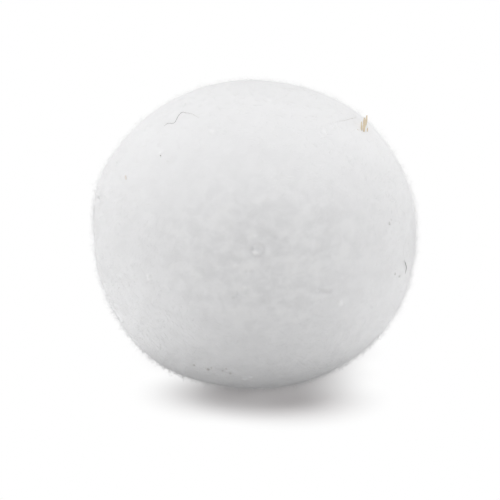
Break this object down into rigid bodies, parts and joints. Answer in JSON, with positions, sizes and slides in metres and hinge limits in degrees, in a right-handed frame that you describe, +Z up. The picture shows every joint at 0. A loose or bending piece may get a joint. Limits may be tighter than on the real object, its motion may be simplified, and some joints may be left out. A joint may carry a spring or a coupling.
{
  "type": "felt ball pompom",
  "caption": "White felted-wool ball pompom, slightly wider than high, with soft uneven lumps and a small settled flat spot to rest on, used as a craft or trim ball.",
  "frame": {"origin": "centre of the settled flat spot that the ball rests on", "axes": "+Z up through the crown, -Y towards the pictured side, +X to that view's right"},
  "size_m": [0.0499, 0.0501, 0.0464],
  "materials": {
    "wool": "matte white felted wool with a short fuzz of loose fibres"
  },
  "bodies": {
    "root": {"felt_ball": "wool"}
  },
  "joints": []
}
